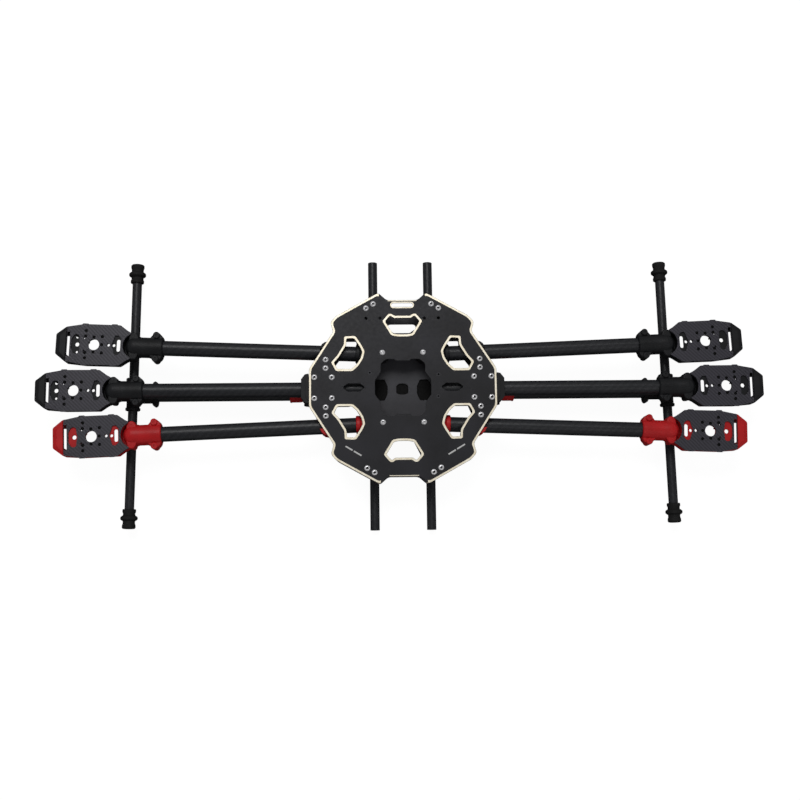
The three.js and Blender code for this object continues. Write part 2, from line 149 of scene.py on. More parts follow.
def inset(points, distance):
    """The outline moved to its own left by a distance, so an anticlockwise one shrinks."""
    result = []
    count = len(points)
    for i, point in enumerate(points):
        before = (Vector(point) - Vector(points[i - 1])).normalized()
        after = (Vector(points[(i + 1) % count]) - Vector(point)).normalized()
        left = Vector((-before.y - after.y, before.x + after.x))
        share = max(1 + before.dot(after), SHARPEST_CORNER)
        result.append(tuple(Vector(point) + left * (distance / share)))
    return result


# ---- Meshes ----

SAME_POINT = 1e-4  # vertices nearer than this become one


def mesh_of(vertices, faces):
    mesh = bpy.data.meshes.new("shape")
    mesh.from_pydata(vertices, [], faces)
    shape = bmesh.new()
    shape.from_mesh(mesh)
    bmesh.ops.remove_doubles(shape, verts=shape.verts, dist=SAME_POINT)
    bmesh.ops.recalc_face_normals(shape, faces=shape.faces)
    shape.to_mesh(mesh)
    shape.free()
    return mesh


def slab(outline, holes, z0, z1, ease=0.3, steps=2):
    """A flat piece between two heights, its holes cut through, every edge rounded by ease."""
    loops = [outline if area(outline) > 0 else outline[::-1]]
    loops += [hole if area(hole) < 0 else hole[::-1] for hole in holes]
    quarter = [math.pi / 2 * k / steps for k in range(steps + 1)] if ease else [math.pi / 2]
    rise = [(ease * (1 - math.sin(a)), z0 + ease * (1 - math.cos(a))) for a in quarter]
    levels = rise + [(depth, z0 + z1 - z) for depth, z in reversed(rise)]
    vertices, faces = [], []
    for loop in loops:
        size = len(loop)
        base = len(vertices)
        for depth, z in levels:
            vertices += [(x, y, z) for x, y in inset(loop, depth)]
        for level in range(len(levels) - 1):
            low, high = base + level * size, base + (level + 1) * size
            faces += [(low + i, low + (i + 1) % size, high + (i + 1) % size, high + i)
                      for i in range(size)]
    rim = [[Vector((*point, 0)) for point in inset(loop, levels[0][0])] for loop in loops]
    for z in (z0, z1):
        start = len(vertices)
        vertices += [(point.x, point.y, z) for loop in rim for point in loop]
        faces += [tuple(start + i for i in triangle) for triangle in tessellate_polygon(rim)]
    return mesh_of(vertices, faces)


def lathe(profile, sides=64):
    """A turned piece about the X axis, from the closed corners (along, radius) of its half section."""
    vertices, faces = [], []
    for k in range(sides):
        angle = 2 * math.pi * k / sides
        vertices += [(along, radius * math.cos(angle), radius * math.sin(angle))
                     for along, radius in profile]
    size = len(profile)
    for k in range(sides):
        this, after = k * size, (k + 1) % sides * size
        for i in range(size):
            j = (i + 1) % size
            if profile[i][1] > 0 or profile[j][1] > 0:
                faces.append((this + i, this + j, after + j, after + i))
    return mesh_of(vertices, faces)


def box(x0, x1, y0, y1, z0, z1, ease=0.0):
    return slab([(x0, y0), (x1, y0), (x1, y1), (x0, y1)], [], z0, z1, ease)


def rod(axis, radius, a, b, first=0.0, second=0.0, ease=0.3, sides=32):
    """A round bar along 'y' or 'z' from a to b, its centre line at the two other coordinates."""
    profile = [(a, 0), (a, radius), (b, radius), (b, 0)]
    if ease:
        profile[1:3] = [(a, radius - ease), (a + ease, radius), (b - ease, radius), (b, radius - ease)]
    mesh = lathe(profile, sides)
    if axis == "y":
        return moved(mesh, place(first, 0, second) @ turn("Z", 90))
    return moved(mesh, place(first, second, 0) @ turn("Y", -90))


def moved(mesh, matrix):
    mesh.transform(matrix)
    if matrix.determinant() < 0:
        mesh.flip_normals()
    return mesh


def turn(axis, degrees):
    return Matrix.Rotation(math.radians(degrees), 4, axis)


def place(x=0.0, y=0.0, z=0.0):
    return Matrix.Translation((x, y, z))


def merged(*meshes):
    """Several meshes as the separate shells of one."""
    shape = bmesh.new()
    for mesh in meshes:
        shape.from_mesh(mesh)
    whole = bpy.data.meshes.new("shape")
    shape.to_mesh(whole)
    shape.free()
    return whole


def evaluated(mesh, *modifiers):
    """The mesh after modifiers, each given as (type, settings)."""
    holder = bpy.data.objects.new("work", mesh)
    add(holder)
    for kind, settings in modifiers:
        modifier = holder.modifiers.new("step", kind)
        for name, value in settings.items():
            setattr(modifier, name, value)
    graph = bpy.context.evaluated_depsgraph_get()
    result = bpy.data.meshes.new_from_object(holder.evaluated_get(graph))
    bpy.data.objects.remove(holder)
    return result


def combined(operation, mesh, tools):
    holders = []
    for tool in tools:
        holder = bpy.data.objects.new("tool", tool)
        add(holder)
        holders.append(holder)
    common = {"operation": operation, "solver": "EXACT"}
    steps = [("BOOLEAN", {**common, "object": holder}) for holder in holders]
    result = evaluated(mesh, *steps)
    for holder in holders:
        bpy.data.objects.remove(holder)
    return result


def join(mesh, *others):
    return combined("UNION", mesh, others)


def cut(mesh, *tools):
    return combined("DIFFERENCE", mesh, tools)


def eased(mesh, width):
    """The mesh with its sharp edges rounded."""
    weld = {"merge_threshold": 0.01}
    bevel = {"width": width, "segments": 2, "limit_method": "ANGLE", "angle_limit": math.radians(32),
             "use_clamp_overlap": True}
    return evaluated(mesh, ("WELD", weld), ("BEVEL", bevel))


# ---- Pieces ----

LOOKS = {}
SHARP_EDGE = 34  # degrees between two faces that are not shaded as one


def put(name, mesh, look, body, matrix=None):
    """Puts a mesh of millimetres into the scene as a piece that rides on a body."""
    mesh = mesh.copy()
    mesh.transform(Matrix.Scale(MM, 4))
    mesh.name = name
    mesh.materials.clear()
    mesh.materials.append(LOOKS[look])
    mesh.shade_smooth()
    mesh.set_sharp_from_angle(angle=math.radians(SHARP_EDGE))
    piece = bpy.data.objects.new(name, mesh)
    add(piece)
    if matrix is not None:
        piece.matrix_world = in_metres(matrix)
    even = piece.modifiers.new("even_shading", "WEIGHTED_NORMAL")
    even.keep_sharp = True
    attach(piece, body)
    return piece


def put_screws(name, mesh):
    """Puts bright screws that stay with the frame."""
    put(name, mesh, "steel", "frame")


def in_metres(matrix):
    placed = matrix.copy()
    placed.translation = matrix.translation * MM
    return placed


def stand_in(node, mesh, matrix=None, look=None):
    """A detailed piece in place of a CAD node, with that node's body and material slot."""
    slot = FINISH[node]
    piece = put(f"{node}_detailed", mesh, look or slot, HOME[node], matrix)
    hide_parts(node)


def node_box(node):
    """The lowest and highest corner of a CAD node, in millimetres."""
    low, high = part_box(node)
    return low / MM, high / MM


def node_points(node):
    mesh = frame["nodes"][node].data
    points = np.zeros(len(mesh.vertices) * 3)
    mesh.vertices.foreach_get("co", points)
    return points.reshape(-1, 3) / MM


def centre_line(node):
    """Both ends of a tube's centre line in millimetres, the end nearer the hub first."""
    points = node_points(node)
    axes = np.linalg.svd(points - points.mean(0), full_matrices=False)[2]
    spans = [((points @ axis).min(), (points @ axis).max()) for axis in axes]
    middle = sum(axis * (low + high) / 2 for axis, (low, high) in zip(axes, spans))
    half = axes[0] * (spans[0][1] - spans[0][0]) / 2
    ends = [Vector(middle - half), Vector(middle + half)]
    return sorted(ends, key=lambda end: end.xy.length)


def axes_along(start, end):
    """A frame at start whose X runs level towards end and whose Z is up."""
    x = (end - start).normalized()
    y = Vector((0, 0, 1)).cross(x).normalized()
    z = x.cross(y)
    matrix = Matrix((x, y, z)).transposed().to_4x4()
    matrix.translation = start
    return matrix


def recut(node, width):
    """A CAD node's own shape with its flat faces made whole and its edges rounded."""
    shape = bmesh.new()
    shape.from_mesh(frame["nodes"][node].data)
    bmesh.ops.scale(shape, vec=(1 / MM,) * 3, verts=shape.verts)
    bmesh.ops.remove_doubles(shape, verts=shape.verts, dist=0.002)
    bmesh.ops.dissolve_limit(shape, angle_limit=math.radians(1), verts=shape.verts, edges=shape.edges)
    mesh = bpy.data.meshes.new("shape")
    shape.to_mesh(mesh)
    shape.free()
    return eased(mesh, width)


# ---- Materials ----

class Look:
    """A material under construction. Sizes of patterns are in millimetres."""

    def __init__(self, name, **sockets):
        self.material = bpy.data.materials.new(name)
        self.material.use_nodes = True
        self.tree = self.material.node_tree
        self.shader = self.tree.nodes["Principled BSDF"]
        for socket, value in sockets.items():
            self.shader.inputs[socket.replace("_", " ")].default_value = value
        LOOKS[name] = self.material

    def node(self, kind, inputs=None, **settings):
        node = self.tree.nodes.new("ShaderNode" + kind)
        for name, value in settings.items():
            setattr(node, name, value)
        for key, value in (inputs or {}).items():
            self.fill(node.inputs[key], value)
        return node

    def fill(self, socket, value):
        if isinstance(value, bpy.types.NodeSocket):
            self.tree.links.new(value, socket)
        else:
            socket.default_value = value

    def colour(self, value):
        self.fill(self.shader.inputs["Base Color"], value)

    def roughness(self, value):
        self.fill(self.shader.inputs["Roughness"], value)

    def maths(self, operation, a, b=0.0, c=0.0):
        return self.node("Math", {0: a, 1: b, 2: c}, operation=operation).outputs[0]

    def local(self):
        return self.node("TexCoord").outputs["Object"]

    def stretched(self, coordinates, x, y, z):
        return self.node("Mapping", {"Vector": coordinates, "Scale": (x, y, z)}).outputs[0]

    def noise(self, size, detail=2.0):
        inputs = {"Vector": self.local(), "Scale": 1 / (size * MM), "Detail": detail}
        return self.node("TexNoise", inputs).outputs[0]

    def ranged(self, value, low, high, to_low, to_high):
        inputs = {0: value, 1: low, 2: high, 3: to_low, 4: to_high}
        return self.node("MapRange", inputs).outputs[0]

    def clouds(self, size, detail, low, high):
        """Noise spread over the values from low to high."""
        return self.ranged(self.noise(size, detail), 0.3, 0.7, low, high)

    def between(self, share, first, second):
        inputs = {0: share, 6: first, 7: second}
        return self.node("Mix", inputs, data_type="RGBA").outputs[2]

    def bump(self, height, depth, strength=1.0):
        inputs = {"Height": height, "Distance": depth * MM, "Strength": strength}
        self.fill(self.shader.inputs["Normal"], self.node("Bump", inputs).outputs[0])

    def twill(self, coordinates):
        """A two-over-two twill over coordinates in tow widths.

        Gives which tow is on top, the height of its crown, and the streaks of its fibres.
        """
        split = self.node("SeparateXYZ", {0: coordinates})
        across, up = split.outputs[0], split.outputs[1]
        step = self.maths("ADD", self.maths("FLOOR", across), self.maths("FLOOR", up))
        on_top = self.maths("LESS_THAN", self.maths("FLOORED_MODULO", step, 4), 1.5)
        crowns = [self.maths("SINE", self.maths("MULTIPLY", self.maths("FRACT", way), math.pi))
                  for way in (up, across)]
        threads = []
        for stretch in ((0.4, 9, 1), (9, 0.4, 1)):
            inputs = {"Vector": self.stretched(coordinates, *stretch), "Scale": 1.0, "Detail": 2.0}
            threads.append(self.node("TexNoise", inputs).outputs[0])
        crown, thread = (self.node("Mix", {0: on_top, 2: first, 3: second}).outputs[0]
                         for first, second in (crowns, threads))
        return on_top, crown, thread


def grey(value, blue=1.0):
    return (value, value, value * blue, 1)


def board_look(name, dark, light):
    """Satin solder mask in uneven patches."""
    look = Look(name, Specular_IOR_Level=0.2)
    patches = look.noise(38, 3.0)
    look.colour(look.between(look.ranged(patches, 0.35, 0.65, 0, 1), dark, light))
    look.roughness(look.clouds(3.5, 3.0, 0.36, 0.5))
    look.bump(look.noise(0.9, 2.0), 0.012)


def gold_look():
    look = Look("gold", Metallic=0.35)
    tone = look.clouds(6, 3.0, 0, 1)
    look.colour(look.between(tone, (0.82, 0.73, 0.55, 1), (0.92, 0.86, 0.71, 1)))
    look.roughness(look.clouds(1.5, 2.0, 0.3, 0.45))
    look.bump(look.noise(0.7), 0.01)


def ink_look():
    look = Look("ink")
    tone = look.between(look.noise(0.8, 3.0), grey(0.42), (0.62, 0.62, 0.61, 1))
    look.colour(tone)
    look.roughness(look.clouds(0.6, 2.0, 0.55, 0.75))


PLATE_TOW = 1.0  # width of one tow in the motor plates
TUBE_R = 8  # arms and legs
THIN_TUBE_R = 5  # skids and payload rails
TUBE_TOWS = {TUBE_R: 24, THIN_TUBE_R: 16}  # tows round a tube of that radius


def carbon_look():
    look = Look("carbon", Specular_IOR_Level=0.3)
    scale = 1 / (PLATE_TOW * MM)
    on_top, crown, thread = look.twill(look.stretched(look.local(), scale, scale, scale))
    # The weave is the cloth's own. The lighter tows on top and the lighter crowns are painted sheen from
    # the fibres' reflection.
    tone = look.maths("MULTIPLY_ADD", on_top, 0.4, look.maths("MULTIPLY", crown, 0.25))
    tone = look.maths("MULTIPLY_ADD", thread, 0.35, tone)
    look.colour(look.between(tone, (0.008, 0.0078, 0.0105, 1), (0.054, 0.051, 0.066, 1)))
    look.roughness(look.ranged(tone, 0, 1, 0.5, 0.34))
    look.bump(crown, 0.03, 0.6)


def tube_look():
    look = Look("tube", Specular_IOR_Level=0.25)
    wrap = look.node("UVMap", uv_map="wrap").outputs[0]
    on_top, crown, thread = look.twill(wrap)
    cloudy = look.clouds(30, 3.0, 0, 0.3)
    # The weave is the cloth's own. The lighter tows on top and the lighter crowns are painted sheen from
    # the fibres' reflection.
    tone = look.maths("MULTIPLY_ADD", on_top, 0.22, look.maths("MULTIPLY", thread, 0.35))
    tone = look.maths("ADD", look.maths("MULTIPLY_ADD", crown, 0.12, tone), cloudy)
    look.colour(look.between(tone, (0.006, 0.0065, 0.008, 1), (0.026, 0.027, 0.031, 1)))
    look.roughness(look.ranged(tone, 0, 1, 0.44, 0.32))
    look.bump(crown, 0.02, 0.5)


def moulded_look(name, dark, light, smooth, rough):
    """Moulded nylon: a fine spark-eroded grain, slight flow clouds, and a painted highlight that makes the
    edges paler.
    """
    look = Look(name, Specular_IOR_Level=0.2)
    clouds = look.clouds(14, 3.0, 0, 0.7)
    edges = look.node("Bevel", samples=4, inputs={"Radius": 0.5 * MM}).outputs[0]
    facing = look.node("VectorMath", {0: edges, 1: look.node("NewGeometry").outputs["Normal"]},
                       operation="DOT_PRODUCT").outputs["Value"]
    # The colour is paler where the rounded normal turns from the face's own: a painted highlight along
    # every edge.
    painted_edge_highlight = look.ranged(facing, 0.8, 0.99, 0.3, 0)
    look.colour(look.between(look.maths("ADD", clouds, painted_edge_highlight), dark, light))
    look.roughness(look.clouds(0.5, 3.0, smooth, rough))
    look.bump(look.noise(0.32, 1.0), 0.02, 0.7)


def rubber_look(name, dark, light):
    look = Look(name, Specular_IOR_Level=0.15)
    look.colour(look.between(look.noise(4, 4.0), dark, light))
    look.roughness(look.clouds(1.2, 3.0, 0.62, 0.85))
    look.bump(look.noise(0.5, 3.0), 0.03)


def metal_look(name, dark, light, metallic):
    """Plated steel, turned, with painted shade darkening its crevices, such as the key's socket."""
    look = Look(name, Metallic=metallic)
    # Ambient occlusion turns the colour to the dark one in crevices: painted shade, not the steel's own
    # colour.
    ao_painted_shade = look.node("AmbientOcclusion", {"Distance": 1.6 * MM}, samples=8).outputs["AO"]
    tone = look.between(look.noise(1.5, 3.0), light, tuple(0.8 * part for part in light[:3]) + (1,))
    look.colour(look.between(look.ranged(ao_painted_shade, 0.35, 0.75, 0, 1), dark, tone))
    look.roughness(look.clouds(0.4, 2.0, 0.22, 0.42))
    look.bump(look.noise(0.35), 0.008)


def make_looks():
    board_look("board", grey(0.0105, 1.2), grey(0.0175, 1.25))
    # A paler copy of the board. On the lower plate its paler tone is painted light on the same black mask.
    # Round the plated holes it is the rings' paler tone.
    board_look("board_painted_light_and_pale", grey(0.034, 1.15), grey(0.05, 1.15))
    gold_look()
    ink_look()
    carbon_look()
    tube_look()
    moulded_look("black_plastic", (0.0045, 0.0048, 0.0057, 1), (0.012, 0.0126, 0.0145, 1), 0.42, 0.58)
    moulded_look("red_plastic", (0.37, 0.0085, 0.010, 1), (0.5, 0.014, 0.017, 1), 0.36, 0.5)
    rubber_look("rubber", grey(0.006), grey(0.016))
    rubber_look("foam", grey(0.001), grey(0.003))
    # The first colour of each metal is the painted shade that its crevices turn to.
    metal_look("steel", grey(0.02), (0.83, 0.83, 0.85, 1), 0.55)
    metal_look("black_steel", grey(0.002), (0.012, 0.012, 0.013, 1), 0.3)


# ---- Screws ----

# Each head is its radius, its height, and half its hexagonal socket's width across the flats.
PLATE_HEAD = (3.1, 1.7, 1.35)
EAR_HEAD = (2.3, 1.2, 1.0)
MOTOR_HEAD = (1.55, 0.7, 0.75)
LEG_PIN_HEAD = (3, 1.3, 1.3)
SMALL_HEAD = (1.9, 0.9, 0.9)
CORNER_SHARE = 1.155  # a hexagon's corner radius over its half width
SCREW_TURN = 23  # degrees from one screw's turn to the next one's


def screw_head(radius, height, socket):
    """A button head standing up from z 0, with a hexagonal socket."""
    dome = [(height * math.sin(a), radius * (0.35 + 0.65 * math.cos(a)))
            for a in (math.radians(step) for step in range(20, 91, 14))]
    profile = [(-0.05, 0), (-0.05, radius * 0.97), (0.1, radius)] + dome + [(height, 0)]
    head = moved(lathe(profile, 40), turn("Y", -90))
    key = slab(circle(0, 0, socket * CORNER_SHARE, 6), [], height * 0.3, height + 1, 0)
    return cut(head, key)


def at_places(mesh, places):
    """One mesh holding a copy at each (x, y, z), every copy turned a little further than the last."""
    copies = [moved(mesh.copy(), place(*point) @ turn("Z", SCREW_TURN * i))
              for i, point in enumerate(places)]
    return merged(*copies)


# ---- Hub ----

HUB_QUARTER = [(99.1, 20), (73.3, 60.2), (76.4, 70), (70.6, 76.8), (25.3, 102), (16.4, 94)]
LOWER_PLATE_RATIO = 0.987
SIDE_WINDOW = [(54.2, 19.9), (69.2, 19.9), (72.9, 26.7), (67.3, 32.9), (59.8, 45.3), (59.5, 52.6),
               (51.3, 52.9), (45.6, 44.2), (42.7, 38.4), (44.5, 31.6), (48.9, 24.7)]
LOWER_FRONT_WINDOW = [(49, 22), (68, 18), (72.9, 26.7), (67.3, 34), (61.8, 46), (61.3, 54.5), (49, 54.5)]
LOWER_REAR_WINDOW = [(52.5, 15.8), (70, 15.8), (74.6, 26.5), (69, 33.8), (61.5, 46), (61.2, 54.5),
                     (50.4, 54.7), (43.9, 45.2), (40.9, 38.6), (42.8, 31), (47.6, 23.6)]
END_WINDOW = [(5, 56.8), (10.4, 57.8), (18.4, 71), (13.4, 76.7), (12.2, 76.7), (9.4, 74.5)]
LOWER_FRONT_END_WINDOW = [(8.6, 63.6), (15.2, 68), (15.5, 71.5), (13, 73.3)]
LOWER_REAR_END_WINDOW = [(5, 52.4), (11, 53.5), (19.5, 71), (13.4, 77.5), (12.2, 77.5), (9.4, 75.3)]
STRAP_SLOT = (0, 88.6, 11.6, 2.4)  # middle, half length and half width
CENTRE_OPENING = [(29.7, 8), (23.5, 16.2), (23.5, 25.2), (18, 30.2), (8.8, 30.2), (7.6, 28.4)]
TIE_WINDOW = [(11, 0.8), (6.5, 4.3)]
TIE_X = 52
LOWER_CENTRE_HOLE = [(6.4, -2.4), (6.4, 5.8), (3.2, 8.1), (-3.2, 8.1), (-6.4, 5.8), (-6.4, -2.4),
                     (-3.2, -3.9), (3.2, -3.9)]
LOWER_SIDE_HOLE = [(15.8, -3), (15.8, 5.2), (19, 12.5), (28, 12.5), (32, 6), (32, -4), (28, -10.3),
                   (19, -10.3)]
COVER_HALF = (36, 14.5)  # half length and half width of the tray under the hub
COVER_RIBS = (-7, 0, 7)
CORNERS = {"front_left": (-1, 1), "front_right": (1, 1), "rear_left": (-1, -1), "rear_right": (1, -1)}
PIVOT = (21.5, 37.24)
PIVOT_HOLE_R = 2.4
BOLT_R = 2
BOLT_HEAD = (3, 1.25)  # its radius, and half its socket's width
BOLT_HOLE_R = 2.3  # in an arm root
NUT_R = 4
SMALL_HOLE_R = 1.6
PLATED_HOLE_R = 1.0
LOWER_PLATE = 2  # thickness
RECESS = (24.6, 88)  # an end's bare stretch: its half width, and where it starts
HAIRLINE = (15.4, 0.4, 0.7)  # in that stretch: half length, distance from the edge, width
OUTLINE_BORDER = 1.9
WINDOW_BORDER = 2.1
BORDER_LIFT = 0.06  # height of the plating over the plate's face
PLATE_EASE = 0.18
HUB_SCREWS = [(75.1, 11.1), (93.5, 11.2), (81.5, 30), (81.6, 20.8), (38.6, 85.2), (30.9, 89.8)]
HIDDEN_BELOW = (75.1, 11.1)  # its lower end is inside a retract housing
SMALL_HOLES = [(38.5, 74.4), (23.6, 74.4), (-38.5, 74.4), (-23.6, 74.4)]
PLATED_HOLES = [(37, -10), (37.6, 13.5), (-35, 15.6)]
INK_BARS = [(-61, -62, -44.5, -72), (46.5, -71.5, 64, -61)]


def end_window(half):
    """An outline symmetric about the Y axis, from its right half's corners."""
    return half + mirror_x(half)[::-1]


def four_copies(points):
    return [points, mirror_x(points), mirror_y(points), mirror_y(mirror_x(points))]


def corners(x, y):
    """The four places at x or -x and y or -y."""
    return [(sx * x, sy * y) for sx in (1, -1) for sy in (1, -1)]


def border(loop, start, width, z, up=1, radius=0.0):
    """A thin plated strip beside an edge, on the face at height z, between two distances from the edge."""
    loop = loop if area(loop) > 0 else loop[::-1]
    low, high = sorted((z - up * BORDER_LIFT / 2, z + up * BORDER_LIFT))
    rims = [inset(loop, start), inset(loop, start + width)]
    if radius:
        rims = [rounded(rim, radius) for rim in rims]
    return slab(rims[0], [rims[1]], low, high, 0)


def outline_border(outline, z, up):
    """The plated strip round a hub plate, broken at the recess in each end, where only a hairline runs."""
    ring = border(outline, 0.25, OUTLINE_BORDER, z, up, 3)
    half, reach = RECESS
    low, high = sorted((z - up * BORDER_LIFT / 2, z + up * BORDER_LIFT))
    line_half, line_inset, line_width = HAIRLINE
    edge = max(y for x, y in outline if abs(x) < half) - line_inset
    gap = box(-half, half, reach, reach + 20, z - 2, z + 2)
    line = box(-line_half, line_half, edge - line_width, edge, low, high)
    opposite_gap, opposite_line = (moved(mesh.copy(), turn("Z", 180)) for mesh in (gap, line))
    return merged(cut(ring, gap, opposite_gap), line, opposite_line)


def window_rings(windows, z, up):
    return [border(window, -0.2 - WINDOW_BORDER, WINDOW_BORDER, z, up, 2) for window in windows]


def hub_plates():
    outline = four_quadrants(HUB_QUARTER)
    windows = four_copies(SIDE_WINDOW) + [end_window(END_WINDOW), mirror_y(end_window(END_WINDOW))]
    strap_slot = stadium(*STRAP_SLOT)
    pivots = [circle(x, y, PIVOT_HOLE_R) for x, y in corners(*PIVOT)]
    tie = rounded(four_quadrants(TIE_WINDOW), 1.2)
    ties = [[(x + side * TIE_X, y) for x, y in tie] for side in (1, -1)]
    top_holes = [rounded(window, 1.5) for window in windows] + [strap_slot] + ties + pivots
    top_holes += [rounded(four_quadrants(CENTRE_OPENING), 2)]
    top_holes += [circle(x, y, SMALL_HOLE_R) for x, y in SMALL_HOLES]
    plated_holes = [circle(x, y, PLATED_HOLE_R) for x, y in PLATED_HOLES]
    low, high = (corner.z for corner in node_box("top_plate"))
    top_plate = slab(rounded(outline, 3), top_holes + plated_holes, low, high, PLATE_EASE)
    stand_in("top_plate", top_plate)
    for name, z, up in (("upper", high, 1), ("lower", low, -1)):
        slot_rim = border(strap_slot, -1, 0.9, z, up)
        plating = merged(outline_border(outline, z, up), slot_rim, *window_rings(windows, z, up))
        put(f"top_plate_{name}_border", plating, "gold", "frame")
    rings = [border(hole, -0.9, 0.8, high) for hole in plated_holes]
    put("top_plate_plated_holes", merged(*rings), "board_painted_light_and_pale", "frame")
    put("top_plate_ink_bars", ink_bars(high), "ink", "frame")

    outline = [(x * LOWER_PLATE_RATIO, y * LOWER_PLATE_RATIO) for x, y in outline]
    rear_window = mirror_y(LOWER_REAR_WINDOW)
    low_holes = [LOWER_FRONT_WINDOW, mirror_x(LOWER_FRONT_WINDOW), rear_window, mirror_x(rear_window),
                 end_window(LOWER_FRONT_END_WINDOW), mirror_y(end_window(LOWER_REAR_END_WINDOW)),
                 LOWER_SIDE_HOLE, mirror_x(LOWER_SIDE_HOLE), LOWER_CENTRE_HOLE]
    low_holes = [rounded(hole, 1.5) for hole in low_holes] + pivots
    upper_face = node_box("bottom_plate")[1].z
    lower_face = upper_face - LOWER_PLATE
    bottom_plate = slab(rounded(outline, 3), low_holes, lower_face, upper_face, PLATE_EASE)
    # The lower plate is the same black mask as the top plate. Its paler board colour is painted light.
    stand_in("bottom_plate", bottom_plate, look="board_painted_light_and_pale")
    for name, z, up in (("upper", upper_face, 1), ("lower", lower_face, -1)):
        put(f"bottom_plate_{name}_border", outline_border(outline, z, up), "gold", "frame")
    hub_screws(high, lower_face)
    belly_cover(lower_face)


def belly_cover(z):
    """The shallow tray that closes the three middle openings of the lower plate."""
    x, y = COVER_HALF
    sheet = slab(rounded([(-x, -y), (x, -y), (x, y), (-x, y)], 3), [], z - 1, z + 0.05, 0.3)
    ribs = [box(-x + 6, x - 6, at - 0.6, at + 0.6, z - 1.4, z - 0.8, 0.15) for at in COVER_RIBS]
    put("bottom_plate_cover", merged(sheet, *ribs), "foam", "frame")
    spots = [(sx, -sy, 1 - z) for sx, sy in corners(x - 3.4, y - 3.4)]
    heads = moved(at_places(screw_head(*SMALL_HEAD), spots), turn("X", 180))
    put_screws("bottom_plate_cover_screws", heads)


def ink_bars(z):
    """Two short dashes on each rear shoulder of the top plate."""
    dashes = []
    for x0, y0, x1, y1 in INK_BARS:
        length = math.hypot(x1 - x0, y1 - y0)
        angle = math.degrees(math.atan2(y1 - y0, x1 - x0))
        for start, end in ((0, 0.44), (0.52, 1)):
            dash = box(start * length, end * length, -0.75, 0.75, z - 0.02, z + 0.05)
            dashes.append(moved(dash, place(x0, y0) @ turn("Z", angle)))
    return merged(*dashes)


def hub_screws(top, bottom):
    """The screws of both hub plates, and the four bolts that the arms fold about."""
    head = screw_head(*PLATE_HEAD)
    painted_socket_shade = rod("z", 1.3, 0.4, 0.8, ease=0)  # a dark disc at the bottom of each socket, painted shade in the socket's depth
    upper = [(x, y, top) for point in HUB_SCREWS for x, y in corners(*point)]
    put_screws("top_plate_screws", at_places(head, upper))
    # The dark discs in the sockets are painted shade.
    put("top_plate_screw_painted_shade", at_places(painted_socket_shade, upper), "black_steel", "frame")
    seen = [point for point in HUB_SCREWS if point != HIDDEN_BELOW]
    lower = [(x, -y, -bottom) for point in seen for x, y in corners(*point)]
    heads = moved(at_places(head, lower), turn("X", 180))
    put_screws("bottom_plate_screws", heads)
    for corner in CORNERS:
        node = f"{corner}_pivot_bolt"
        low, high = node_box(node)
        middle = (low + high) / 2
        nut = slab(circle(0, 0, NUT_R, 6), [], low.z, bottom, 0.35)
        bolt_head = moved(screw_head(BOLT_HEAD[0], high.z - top, BOLT_HEAD[1]), place(z=top))
        bolt = merged(rod("z", BOLT_R, low.z, top), bolt_head, nut)
        stand_in(node, bolt, place(middle.x, middle.y))


# ---- Motor mounts, in their arm's axes with the motor centre as origin ----

TUBE_SHORT = 35.3  # from the motor centre in to the tube's end
TRAY_TOP = 8
TRAY_BOTTOM = -5
MOTOR_PLATE = 1.8  # thickness
PLATE_TOP = TRAY_TOP + MOTOR_PLATE
SHAFT_HOLE_R = 5.85
BARREL_R = 11.4  # the clamp round the tube
BARREL_END = -71.9
NOSE = -31.7  # where the barrel's rounded end stops
NOSE_LENGTH = 9.8
NOTCH_GAP = 1.3  # between the barrel's nose and the plate's edge
BORE_R = 8.2
EAR_SCREW = (-64.8, 12.6)
LUMP_SCREW = (-41.8, 11.6)
SCREW_FACE = -8.6  # underside of the bosses that the clamp's screws stand in
EAR_TOP = 6.5  # and its underside is as far below the axis
SPLIT_HALF = 0.35  # of the saw cut that lets a clamp close
WIRE_SLOT = (-25.6, 6.6, 2)  # its middle, half length across the arm, and half width
RIB_ANGLES = (28, 152, 208, 332)

TRAY_HALF = [(40, 10.6), (29, 19.2), (9, 21), (-27.2, 20.9), (-35.2, 15.4), (-41, 13)]
PLATE_HALF = [(28.5, 18.6), (12.9, 21.4), (12.4, 22.5), (6.8, 22.5), (6.3, 21.8), (-17.7, 21.7),
              (-18.2, 22.5), (-23.8, 22.5), (-24.3, 21.7), (-27.4, 21.5), (-35, 15.9), (-38.8, 13.9)]
CAP_BASE = [(29.2, -19.1), (39.9, -10.6), (39.9, 10.6), (29.2, 19.1)]
CAP_FACE = [(29.2, -15.6), (35.8, -8.8), (35.8, 8.8), (29.2, 15.6)]
EAR_HALF = [(-71.7, 10.2), (-70.5, 12.4), (-67.5, 15.2), (-65.1, 16.3), (-62.7, 15.6), (-60.3, 12.6),
            (-58.1, 10)]
LUMP_HALF = [(-46.4, 9.5), (-45, 12.4), (-43.4, 14.3), (-40.6, 14.8), (-38.2, 13.8), (-36, 9.5)]
OUTER_CRESCENT = [(15.4, 9.5), (18, 10.8), (20.8, 10), (23.4, 5.5), (23.4, -5.5), (20.8, -10), (18, -10.8),
                  (15.4, -9.5), (14.9, -3.4), (13.9, 0), (14.9, 3.4)]
INNER_CRESCENT = [(-28.4, 7.5), (-25.5, 10.6), (-22, 10.2), (-20.4, 5), (-18.6, 0), (-20.4, -5),
                  (-22, -10.2), (-25.5, -10.6), (-28.4, -7.5)]
BELT_SLOT = [(28.6, -13), (28.6, 13), (25.3, 13), (25.3, -13)]
BELT_OPENING = [(28.2, -13.2), (28.2, 13.2), (25.2, 13.2), (25.2, -13.2)]
